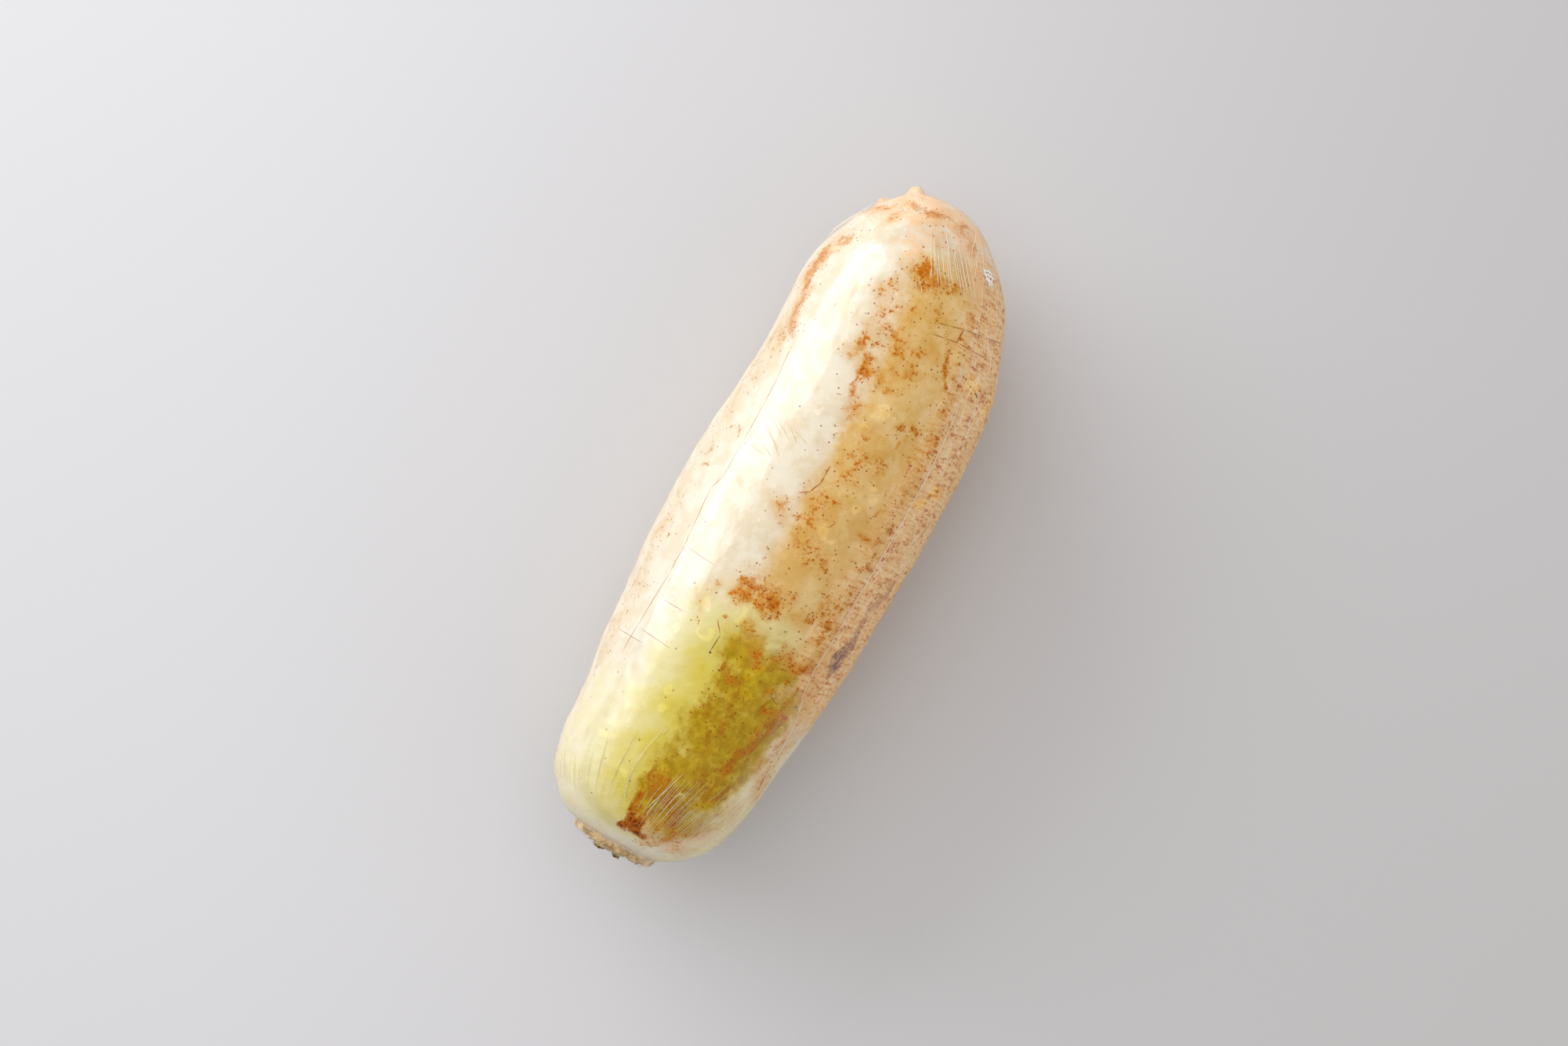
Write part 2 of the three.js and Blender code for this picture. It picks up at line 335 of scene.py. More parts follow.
def strips_mesh(name, surface, strips):
    """One piece of many strips, each a path, a width, a height and a strength."""
    vertices = []
    faces = []
    strengths = []
    for path, width, height, strength in strips:
        rings = strip_rings(surface, path, width, height)
        first = len(vertices)
        last = first + (len(rings) - 1) * 6
        vertices += list(rings.reshape(-1, 3))
        strengths += [strength] * (len(rings) * 6)
        for row in range(first, last, 6):
            for k in range(6):
                a, b = row + k, row + (k + 1) % 6
                faces.append((a, b, b + 6, a + 6))
        faces += [tuple(range(first, first + 6))[::-1], tuple(range(last, last + 6))]
    mesh = bpy.data.meshes.new(name)
    mesh.from_pydata(((np.array(vertices) + SHIFT) * MM).tolist(), [], faces)
    mesh.shade_smooth()
    obj = bpy.data.objects.new(name, mesh)
    bpy.context.scene.collection.objects.link(obj)
    add_attribute(obj, "strength", np.array(strengths))
    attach(obj, "root")
    return obj


# ---- the root --------------------------------------------------------------------------------------

ROOT_COLUMNS = 300
FILM_COLUMNS = 420


def stalk_height(a, b, low, high):
    """How far the cut stalks stand out of the stub's face, at places across it. They rise between two
    distances inside their edges."""
    height = np.zeros_like(a)
    for i, stands in enumerate(STALK_HEIGHTS):
        distance = STALK_SPACING * math.sqrt(i + 0.55)
        half = 1.5 + 0.4 * distance
        thick = 1.9 + 0.14 * distance
        turn = i * GOLDEN_ANGLE
        u = a * math.cos(turn) + b * math.sin(turn)
        w = -a * math.sin(turn) + b * math.cos(turn)
        across = np.clip((w / half) ** 2, 0, 1)
        outer = distance + 0.5 * thick - (0.5 * thick + 0.3 * half) * across
        inner = distance - 0.15 * half - 0.075 * thick - (0.15 * half - 0.075 * thick) * across
        inside = np.minimum(np.minimum(outer - u, u - inner), half - np.abs(w))
        height = np.maximum(height, stands * smoothstep(inside, low, high))
    return height


def skin_radius(x, radius, angle):
    """The skin's radii with its hollows, bumps and fine rings, from the profile's."""
    smooth = radius - dent_depth(x, angle) * np.minimum(1, radius / GIRTH_RADIUS)
    base = point_at(x, smooth, angle, 1.0)
    bumps = 0.14 * ripple(base, 34, 1) + 0.07 * ripple(base, 13, 2) + 0.035 * ripple(base, 5, 3)
    rings = np.maximum(0, ripple(base * [1, 0.22, 0.22], 5.5, 4) - 1.1) * 0.16
    return smooth + (SKIN_OUT + bumps - rings) * smoothstep(x, 7, 14)


def nub_axis(along, side, up):
    """Where a nub stands on the skin, and which way it points."""
    y, z = (float(line_at(MIDDLE_LINE, along, i)) for i in (1, 2))
    outwards = np.array([1, side / 40, up / 40])
    return np.array([along, y + side, z + up + AXIS_HEIGHT]), outwards / np.linalg.norm(outwards)


def with_nubs(points):
    """Raises the stumps of the roots that broke off at the tip."""
    for along, side, up, radius, length in NUBS:
        foot, outwards = nub_axis(along, side, up)
        from_foot = points - foot
        out = from_foot @ outwards
        from_axis = np.linalg.norm(from_foot - out[..., None] * outwards, axis=-1)
        dome = length * smoothstep(radius * 1.15 - from_axis, 0, radius * 0.8)
        points = points + (dome * (out > -TENT_REACH))[..., None] * outwards
    return points


def build_root():
    face = [(STUB_FACE, r) for r in np.linspace(0, STUB_RADIUS - STUB_CHAMFER, 42)]
    stub = [
        *face,
        (STUB_FACE + 0.25, STUB_RADIUS - 0.25),
        (STUB_FACE + STUB_CHAMFER, STUB_RADIUS),
        (STUB_FACE + 2.0, STUB_RADIUS + 0.2),
        (BODY_OUTLINE[0][0], STUB_RADIUS + 0.6),
    ]
    body = respaced(body_curve, lambda x: np.interp(x, [7, 30, 230, 268], [0.7, 1.15, 1.15, 0.7]))
    profile = np.vstack([stub, body])
    x, radius = (profile[:, i][:, None] for i in (0, 1))
    angle = np.broadcast_to(
        (np.arange(ROOT_COLUMNS) * 2 * math.pi / ROOT_COLUMNS)[None], (len(profile), ROOT_COLUMNS)
    )
    radius = skin_radius(x, radius, angle)
    rough = 0.1 * ripple(point_at(x, radius, angle, 1.0), 2.2, 5) * (1 - smoothstep(x, 5, 12))
    on_face = smoothstep(STUB_RADIUS + 0.5 - radius, 0, 1.2) * (x < STUB_FACE + 0.5)
    stalks = stalk_height(radius * np.cos(angle), radius * np.sin(angle), -0.2, 0.9) * on_face
    x = x - stalks + rough * (radius > 0.1)
    points = with_nubs(point_at(x, radius, angle, 1.0))
    root = tube_mesh("daikon_skin_and_crown", points, True, True, angle)
    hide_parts("daikon_root")

    # Where the skin is green, stained and so on.
    round_it = turn_between(angle, math.pi / 2) * ROUND_RADIUS
    along = np.broadcast_to(x, angle.shape)
    nearby = points + 1.3 * np.stack([ripple(points, 15, seed) for seed in (6, 7, 8)], axis=-1)
    nearby += 0.5 * np.stack([ripple(points, 5, seed) for seed in (9, 10, 11)], axis=-1)
    right_side = smoothstep(along, 60, 90) * (1 - smoothstep(along, 248, 262))
    blushed_side = 0.6 * smoothstep(round_it, 46, 76)
    layers = {
        "green": marks(nearby, GREEN),
        "ochre": smoothstep(-round_it, -9, 5) * right_side * (1 - smoothstep(along, 242, 254)),
        "umber": marks(nearby, UMBER),
        "wash": marks(nearby, WASH),
        "crumb": np.maximum(np.minimum(1, 1.2 * marks(nearby, CRUMB)), 0.6 * marks(nearby, OLIVE)),
        "olive": marks(nearby, OLIVE),
        "dark": marks(nearby, DARK),
        "scuff": marks(nearby, SCUFF),
        "rust": marks(nearby, RUST),
        "cut": smoothstep(stalks, 0.2, 0.7),
        "tan": smoothstep(-round_it, 16, 34) * right_side,
        "blush_with_painted_bounce": np.maximum(np.maximum(blushed_side, smoothstep(along, 240, 260)), marks(nearby, BLUSH)),
        "stub": 1 - smoothstep(along, 5.4, 8.0),
    }
    for name, values in layers.items():
        add_attribute(root, name, per_vertex(values, True, True))
    return root


# Rows of marks(): along and round of both ends, half width, strength.
GREEN = [
    (86, -2, 30, 4, 23, 1.0),
    (70, 10, 24, 24, 19, 0.62),
    (62, -26, 34, -30, 16, 0.8),
    (50, 40, 12, 60, 22, 0.4),
    (50, -60, 12, -60, 24, 0.42),
    (40, 120, 12, 120, 34, 0.4),
    (40, -120, 12, -120, 34, 0.4),
]
WASH = [
    (68, -47, 46, -55, 8, 0.75),
    (100, -38, 82, -43, 8, 0.8),
    (239.2, 0.4, 238.2, -12.9, 7.5, 0.9),
    (226.3, 2.1, 228.6, -14.8, 8.6, 0.7),
    (211.3, 5.3, 214.7, -9.7, 9.8, 0.8),
    (198.8, 6.2, 203.5, -11.2, 8.6, 0.75),
    (184.4, 3.3, 191.2, 2.4, 4.6, 0.7),
    (175, -3.5, 182.2, -18.8, 10.9, 0.6),
    (160.1, -5.4, 169.9, -12.6, 9.2, 0.75),
    (141.6, -3.3, 153.9, -5.7, 6.9, 0.8),
    (132.4, -5.3, 127.2, -5.6, 4.6, 0.6),
    (107.1, 5.9, 111.6, -13.7, 6.3, 0.75),
    (119, 6, 119.3, -3.1, 5.8, 0.4),
    (98.4, 4.3, 96.5, 1.7, 4, 0.35),
    (155, -14.6, 146, -30.9, 8.6, 0.5),
    (178.5, -17.6, 169.7, -34.8, 8.1, 0.5),
    (118.8, -22.9, 120.3, -35.5, 5.8, 0.5),
    (97.2, -34.6, 91.4, -23, 4.6, 0.85),
    (153.4, -43.4, 147.1, -44, 4, 0.5),
    (208.5, -23.2, 219.8, -21.9, 5.2, 0.5),
    (239.2, 72.3, 245.6, 45.8, 3.7, 0.35),
    (228.4, 63.6, 233.5, 45.1, 3.5, 0.3),
    (207, 46.3, 216.9, 43.5, 2.6, 0.45),
    (260.4, -28.2, 254.7, -32, 2.6, 0.5),
    (251.5, -3.1, 248.8, -9.1, 4, 0.5),
    (250, 33, 256, 28, 4, 0.7),
    (260, -24, 261, -28, 3, 0.8),
    (243.6, 41, 246, 44, 4, 0.5),
    (256, 4, 262, -6, 5, 0.4),
    (17, -12, 24, -40, 8, 0.85),
    (54, -44, 72, -50, 8, 0.75),
    (36, -44, 34, -52, 7, 0.6),
    (236, 50, 192, 50, 8, 0.7),
    (190, 54, 70, 56, 8, 0.5),
    (250, -20, 240, -40, 9, 0.5),
    (262, 14, 264, -10, 4, 0.5),
    (136, -4, 130, -13, 7, 0.9),
    (226, 8, 205, 12, 7, 0.85),
    (98, -6, 90, -14, 6, 0.85),
    (144, 8, 139, 5, 5, 0.7),
    (106, 17, 100, 15, 6, 0.5),
    (15, -30, 15, -42, 6, 0.7),
    (62, -52, 48, -54, 8, 0.6),
]
BLUSH = [
    (15, -12, 24, -22, 7, 0.9),
    (18, -34, 36, -46, 10, 0.75),
    (40, -52, 62, -56, 10, 0.45),
    (11.5, 10, 13, -14, 2.2, 0.7),
    (252, -2, 244, -26, 8, 0.8),
    (244, 4, 262, 26, 9, 0.8),
]
UMBER = [
    (90, -9, 84, -20, 12, 0.9),
    (76, -13, 72, -30, 13, 1.0),
    (58, -12, 56, -31, 13, 1.0),
    (42, -10, 40, -29, 12, 1.0),
    (29, -5, 26, -24, 10, 1.0),
    (50, -32, 78, -38, 8, 0.85),
]
OLIVE = [
    (74.4, -25.5, 78.5, -32.6, 4, 0.9),
    (70.8, -34.8, 48.1, -26.3, 2.3, 0.95),
    (40.7, -32.2, 36.9, -30.8, 2.3, 0.9),
    (42, -23.1, 27.6, -20.7, 5.8, 0.55),
    (33.6, -3.4, 44.7, -0.4, 2.6, 0.4),
    (72.8, -2, 51.8, -13.6, 4.6, 0.45),
    (30.8, -22, 24, -15.1, 2.6, 0.7),
    (78.1, -10.5, 60.4, -18.6, 2.9, 0.5),
    (36, -4, 31, -12, 5, 0.85),
    (83, -3, 78, -8, 5, 0.6),
]
DARK = [
    (21, 2.0, 15, 2.4, 2.6, 1.0),
    (15, 1.5, 15.4, -6.5, 2.4, 1.0),
    (18.5, 1.0, 18, -6, 2.8, 0.95),
    (23, 1.6, 35.8, -0.8, 2.0, 0.62),
    (26, -2, 22, -7, 3.4, 0.45),
    (35.8, -0.8, 47.9, -1.9, 1.6, 0.4),
    (25.4, -13.2, 24.6, -18, 1.4, 0.65),
    (24.6, -6.4, 25.5, -10.7, 1.2, 0.5),
    (49.7, -29.1, 50.8, -29.4, 1.4, 0.8),
    (51.2, -22.5, 50.5, -26.3, 0.7, 0.8),
    (30.9, -38.2, 33, -42, 0.9, 0.5),
    (40.7, -32.2, 39.3, -32.1, 1.4, 0.4),
    (79.5, -40.7, 79.7, -38.9, 0.9, 0.9),
    (65.2, -46.2, 64, -47.1, 1, 0.8),
    (61.6, -49.2, 60.2, -49.1, 0.9, 0.6),
    (80.1, -24.8, 79.9, -25.3, 1, 0.6),
    (77.5, -15.7, 77.1, -16.3, 1, 0.55),
    (42.1, -11.7, 41.8, -12.6, 1, 0.5),
]
CRUMB = [
    (238.4, -4.6, 240.2, -6.2, 4, 0.9),
    (241.9, -10.9, 241.5, -11.4, 2, 0.9),
    (218.4, 1.2, 217.2, -0.3, 2.3, 0.7),
    (217.2, -4.3, 216.8, -4.8, 1.4, 0.7),
    (224.9, -15.9, 224.7, -16, 1.3, 1),
    (221.4, -18.7, 219.9, -20.7, 1.4, 0.6),
    (207.7, 1.1, 206.1, -3.5, 1.4, 0.9),
    (209.5, -5.9, 212.9, -8.1, 1.3, 1),
    (205.8, -6.9, 206.6, -11.5, 1.7, 0.9),
    (207.7, -1.1, 206.6, -3.3, 1.4, 0.8),
    (201.6, 3.9, 197.4, 4, 2.3, 0.8),
    (207.8, 5, 189.4, 7.7, 1.2, 0.85),
    (196.9, -4.5, 194.1, -2.3, 2, 0.6),
    (192.9, 5.6, 188.8, 4.2, 2, 0.6),
    (185.7, 4, 181.9, 1.9, 2, 0.6),
    (171.6, 3.6, 168.4, 2.2, 1.2, 0.5),
    (216.9, -23.5, 205.9, -25.5, 1.9, 0.9),
    (215.8, -20.9, 215.6, -21, 1.4, 0.5),
    (186, -10.6, 184.9, -26.6, 1, 0.9),
    (183.1, -15.9, 177.3, -16.3, 1.2, 0.7),
    (177, -11.5, 176.7, -11.7, 1.2, 0.8),
    (167.9, -5.2, 165.7, -7.3, 1.7, 0.8),
    (173.4, -7.5, 173.5, -8.3, 0.9, 0.6),
    (173.2, -25.1, 173.2, -27.3, 1.3, 0.7),
    (166.4, -23.9, 166, -40.7, 1, 0.7),
    (147.5, 0.9, 142.2, 1.3, 1, 0.8),
    (144.8, 6.4, 139.1, 5.1, 1.7, 0.55),
    (149.7, -3.7, 145.3, -4.3, 1.4, 0.4),
    (262, 26, 259.8, -10.8, 3, 0.6),
    (259.8, -10.8, 255.1, -27.8, 4, 0.5),
    (259.6, 34, 252.3, 59, 3.5, 0.5),
    (232, 50, 200, 44, 4.5, 0.62),
    (152.7, -23.7, 152, -46.5, 1.3, 0.8),
    (133.4, -29.2, 133.1, -49.2, 1.3, 0.85),
    (111.2, -21.7, 111.1, -35.1, 1.5, 0.85),
    (105.7, -20.7, 104.8, -35.9, 1.3, 0.9),
    (111.6, 3.5, 110.6, -9, 3.4, 0.85),
    (107.6, -1, 107.2, -9.5, 2.6, 0.7),
    (115.2, 2, 114.2, -6, 2, 0.6),
    (107.2, 7.8, 108.2, 0.2, 1.4, 0.8),
    (111.2, -6, 111.6, -11.7, 1.4, 0.7),
    (113.8, -1.4, 115.1, 2.4, 0.9, 0.7),
    (127.2, 1.5, 123.6, 1.1, 1.2, 0.9),
    (134.5, -5, 128.8, -7.8, 1.4, 0.5),
    (139.8, 6.8, 135.2, 5.2, 1.4, 0.5),
    (129, -16.4, 128.1, -17.2, 1.3, 1),
    (127.1, -19.9, 124.3, -20.8, 1.2, 0.6),
    (135.3, -16.9, 133.6, -18, 0.9, 0.5),
    (122.3, -22.1, 121.9, -35.6, 1.2, 0.9),
    (118.8, -22.9, 115, -25.3, 4, 0.5),
    (110.4, -22.9, 110.8, -35.3, 1.2, 0.8),
    (116.1, -29.1, 112.2, -30, 1, 0.7),
    (105.2, -21.1, 105.6, -30.5, 1.3, 1),
    (107.2, -32.2, 103.3, -34.4, 1.3, 0.8),
    (102.1, -18.5, 102, -18.9, 1, 0.7),
    (92.7, -22.1, 94.8, -34.4, 3.5, 0.8),
    (100.8, 5.3, 97.4, 2.5, 1, 0.8),
    (107.1, 16.9, 106.8, 16.8, 1.4, 0.6),
    (103.8, 18.5, 101, 18, 1, 0.6),
    (115.1, 9.6, 115, 9.2, 1.2, 0.7),
    (83.4, 0.5, 83, -0, 1, 0.8),
    (87.7, -12.4, 85.1, -14, 1.3, 0.7),
    (80.3, -5.9, 75.7, -8.6, 1.2, 0.6),
    (95.4, -3.4, 95.1, -3.5, 1.4, 0.5),
    (46.9, -25.6, 72.9, -30.8, 2.4, 0.55),
    (80.1, -33.4, 79.6, -40, 1.2, 0.9),
    (81.9, -23.5, 82.6, -29.2, 1.7, 0.6),
    (73.5, -27.4, 73.2, -37.3, 3.2, 0.9),
    (152.6, -24.1, 150.9, -37.4, 1, 0.9),
    (156.8, -41.9, 153.4, -43.4, 1.4, 0.85),
    (151.3, -34, 151, -47.7, 1.2, 0.6),
    (144, -31.5, 144.2, -34.8, 1.4, 0.7),
    (142.9, -22.5, 143.5, -40.5, 1, 0.7),
    (141, -33, 138.7, -33.9, 1, 1),
    (132.8, -30.8, 131.8, -40.5, 1, 0.85),
    (135.5, -30.4, 133.4, -36.3, 1.4, 0.5),
    (185.6, -51.9, 184.1, -54.1, 1.4, 0.8),
    (181, -46.4, 180.8, -46.7, 0.9, 0.8),
    (204.7, -47.7, 203.4, -52.1, 2, 0.5),
    (200.5, -49.7, 199.3, -50.8, 1.2, 0.6),
    (210.6, -47.4, 212.7, -46.5, 1, 0.9),
    (233.2, -30.9, 232.8, -31.6, 1, 1),
    (251.5, -62, 249.7, -56.8, 0.9, 0.8),
    (246.7, -52.8, 244.3, -50.6, 0.7, 0.8),
    (224.4, -36.3, 224.6, -41.9, 1.4, 0.6),
    (227.1, -44.9, 228.8, -55.8, 1.2, 0.6),
    (223.4, -56.8, 220.4, -60.8, 1, 0.5),
    (207.7, -35.4, 206.2, -37.3, 1, 0.7),
    (250.9, 32.6, 254.6, 30, 2, 0.6),
    (260.2, -25.6, 260, -24.7, 1.7, 0.85),
    (265.6, -10.7, 266.6, -24.2, 2, 0.4),
    (243.5, 41.6, 238.4, 45.1, 1.4, 0.6),
    (242.6, -1.1, 242, -1, 1.4, 0.8),
    (236.5, 5.8, 236.3, 5.6, 1.2, 0.6),
    (223.3, 5.5, 225.3, 3, 1, 0.8),
    (231.1, -3.1, 231.1, -3.1, 1, 0.7),
    (12.8, -14.6, 19.5, -26.3, 4, 0.5),
    (208.9, 44.4, 204.6, 45.3, 1.7, 0.6),
    (194.3, 46.4, 188.5, 42.8, 1.4, 0.4),
    (154.1, 49.9, 150.9, 49.4, 1.4, 0.5),
    (145.2, 48.3, 145.5, 33.3, 0.9, 0.8),
    (158.8, 48.4, 158.5, 36, 0.9, 0.85),
    (116.6, 48.2, 116.4, 36.6, 1.2, 0.85),
    (95.6, 34.5, 93.1, 34.5, 1.2, 0.5),
    (77.1, 54, 73.4, 53.9, 1.4, 0.4),
    (104.7, 49.6, 103.3, 46.1, 1.2, 0.4),
    (116.9, 36, 120.7, 36.2, 1.2, 0.45),
]
SCUFF = [
    (112, -47.5, 98, -46.5, 4.6, 0.85),
    (117.8, -50.6, 111.5, -47.6, 1.2, 0.45),
    (217.3, 41.6, 216.6, 40.5, 1.4, 0.75),
    (189.6, 50.1, 189.2, 50.3, 0.9, 0.8),
    (202.9, 57.7, 187.4, 56.5, 0.9, 0.5),
    (95.3, 53.7, 95.1, 53.4, 0.9, 0.6),
    (81.8, 23.3, 81.4, 22.7, 1.2, 0.35),
]
RUST = [
    (132, -51, 117, -49, 3.2, 0.9),
    (265.8, 66, 268, 66, 4.5, 0.75),
    (257.8, 70, 259, 70, 3.5, 0.75),
    (220.6, 22.8, 220.4, 22.6, 0.9, 0.6),
    (223.8, 18.5, 223.6, 18.3, 1, 0.5),
    (204.7, -47.7, 203.2, -54.2, 2.3, 0.6),
    (96.2, -47.1, 89.1, -48.1, 1.4, 0.7),
]


# Fine brown lines: how wide they look, strength, and the along and round of their points.
LINES = [
    (0.28, 0.8, [(225.1, -14.7), (226.1, -20.4), (227.4, -27.9), (228.3, -39.8), (230.4, -60.9)]),
    (0.28, 0.75, [(220.7, -14.2), (221.3, -19.9), (222, -26.4), (221.8, -34.2), (221.9, -46.4)]),
    (0.5, 0.8, [(227.2, -27.5), (221.6, -25.3)]),
    (0.5, 0.95, [(209.1, -42), (207.7, -45.5)]),
    (0.33, 0.9, [(165.2, -52.4), (161.2, -54.8), (156.7, -55.1), (151.8, -52.5), (149.5, -51)]),
    (0.45, 0.8, [(179.8, -68.4), (177.1, -72.3)]),
    (0.2, 1, [(92.3, 4.5), (85.1, 5.1)]),
    (0.16, 0.8, [(214.7, 28.1), (216.8, 26.5)]),
    (0.22, 0.75, [(197.4, 38.5), (183.7, 36.5), (172.9, 35.7), (157.6, 34.8), (142.8, 34.8), (138.2, 37)]),
    (0.25, 0.7, [(138.2, 37), (120.4, 36), (115.2, 35.7), (102.8, 36.4), (82.3, 39.6), (71.2, 41.8)]),
    (0.15, 0.62, [(115.3, 35.3), (113.4, 18.8)]),
    (0.18, 0.7, [(94.6, 33.8), (93.9, 22)]),
    (0.18, 0.62, [(81.6, 37), (80, 20)]),
    (0.18, 0.62, [(77.6, 51.8), (77.2, 32.9)]),
    (0.35, 0.8, [(162.9, -0.2), (158.6, -0.4), (155.7, -0.4), (151.3, 1.4), (149.4, 4.7)]),
    (0.25, 0.8, [(142.8, -11), (145.3, -12.4), (145.6, -11)]),
    (0.18, 0.7, [(186.9, 11), (187.2, 9)]),
    (0.3, 0.7, [(92.5, 4.9), (96.6, 8.2)]),
    (0.3, 0.6, [(77.6, -29.9), (80.1, -24.8)]),
]
# Dark spots: along, round, size.
DOTS = [
    (219.1, -30.4, 0.75),
    (108.1, -10.3, 0.7),
    (163, -17.6, 0.5),
    (166.6, -12.5, 0.55),
    (177.4, 20.9, 0.6),
    (153.4, 17.9, 0.55),
    (148.9, 17.3, 0.4),
    (164.1, 10.6, 0.4),
    (84.9, 4.9, 0.8),
    (63.6, 12.2, 0.45),
    (31.1, 8.3, 0.5),
    (151.1, -29.2, 0.5),
    (153.1, -16, 0.5),
    (209.1, -18.1, 0.55),
    (209.3, -20.9, 0.5),
    (79.6, -40, 0.8),
    (80.9, -8.8, 0.4),
    (235.1, -3.1, 0.6),
    (245.9, -70.9, 0.7),
    (229.5, -72.3, 0.8),
    (242.3, -12, 0.5),
]


def build_marks():
    """The slits, hairs and spots on the skin."""

    def surface(x, lift, angle):
        radius = np.interp(x, body_curve[:, 0], body_curve[:, 1])
        return point_at(x, skin_radius(x, radius, angle) + lift, angle, 1.0)

    # A strip is highest along its middle, so it is made wider than it looks.
    strips = []
    for width, strength, path in LINES:
        strips += [(list(ends), 1.6 * width, 0.05, strength) for ends in zip(path, path[1:])]
    strips += [([(x - size / 2, r), (x + size / 2, r)], 1.2 * size, 0.1, 0.95) for x, r, size in DOTS]
    lines = strips_mesh("daikon_skin_marks", surface, strips)
    return lines


# ---- materials -------------------------------------------------------------------------------------


class Nodes:
    """A short way to write a material's node tree."""

    def __init__(self, name):
        self.material = bpy.data.materials.new(name)
        self.material.use_nodes = True
        self.tree = self.material.node_tree
        self.tree.nodes.clear()
        self.output = self.tree.nodes.new("ShaderNodeOutputMaterial")

    def put(self, kind, settings=None, **inputs):
        node = self.tree.nodes.new("ShaderNode" + kind)
        for key, value in (settings or {}).items():
            setattr(node, key, value)
        for key, value in inputs.items():
            self.join(node, key.replace("_", " "), value)
        return node

    def join(self, node, key, value):
        socket = node.inputs[int(key)] if key.isdigit() else node.inputs[key]
        if isinstance(value, bpy.types.NodeSocket):
            self.tree.links.new(value, socket)
        else:
            socket.default_value = value

    def math(self, operation, a, b, c=0.0, clamp=False):
        node = self.tree.nodes.new("ShaderNodeMath")
        node.operation = operation
        node.use_clamp = clamp
        for key, value in (("0", a), ("1", b), ("2", c)):
            self.join(node, key, value)
        return node.outputs[0]

    def ramp(self, value, low, high, to_low=0.0, to_high=1.0):
        node = self.put(
            "MapRange",
            {"interpolation_type": "SMOOTHSTEP"},
            Value=value,
            From_Min=low,
            From_Max=high,
            To_Min=to_low,
            To_Max=to_high,
        )
        return node.outputs[0]

    def mix(self, factor, a, b):
        """A mix of two colours."""
        node = self.tree.nodes.new("ShaderNodeMix")
        node.data_type = "RGBA"
        for socket, value in zip((node.inputs[0], node.inputs[6], node.inputs[7]), (factor, a, b)):
            if isinstance(value, bpy.types.NodeSocket):
                self.tree.links.new(value, socket)
            else:
                socket.default_value = value
        return node.outputs[2]

    def blend(self, factor, a, b):
        """A mix of two shaders."""
        node = self.put("MixShader", Fac=factor)
        self.tree.links.new(a.outputs[0], node.inputs[1])
        self.tree.links.new(b.outputs[0], node.inputs[2])
        return node

    def attribute(self, name):
        return self.put("Attribute", {"attribute_name": name}).outputs["Fac"]

    def place(self, scale=(1, 1, 1), rotation=(0, 0, 0)):
        where = self.put("TexCoord").outputs["Object"]
        return self.put("Mapping", Vector=where, Scale=scale, Rotation=rotation).outputs[0]

    def noise(self, where, scale, detail, roughness, distortion=0.0):
        node = self.put(
            "TexNoise",
            Vector=where,
            Scale=scale,
            Detail=detail,
            Roughness=roughness,
            Distortion=distortion,
        )
        return node.outputs["Fac"]

    def spread(self, where, scale, detail=4.0, roughness=0.55):
        """Noise about zero."""
        return self.math("SUBTRACT", self.noise(where, scale, detail, roughness), 0.5)

    def warped(self, where, scale, amount):
        """Places pushed about by noise, so that what is drawn there has uneven outlines."""
        push = self.put("TexNoise", Vector=where, Scale=scale, Detail=2.0).outputs["Color"]
        node = self.put("VectorMath", {"operation": "MULTIPLY_ADD"})
        for key, value in (("0", push), ("1", (amount, amount, amount)), ("2", where)):
            self.join(node, key, value)
        return node.outputs[0]

    def finish(self, surface):
        self.tree.links.new(surface, self.output.inputs["Surface"])
        return self.material


def colour(red, green, blue):
    """A linear colour from its usual 0 to 255 values."""
    parts = [v / 255 for v in (red, green, blue)]
    return (*(v / 12.92 if v <= 0.04045 else ((v + 0.055) / 1.055) ** 2.4 for v in parts), 1.0)


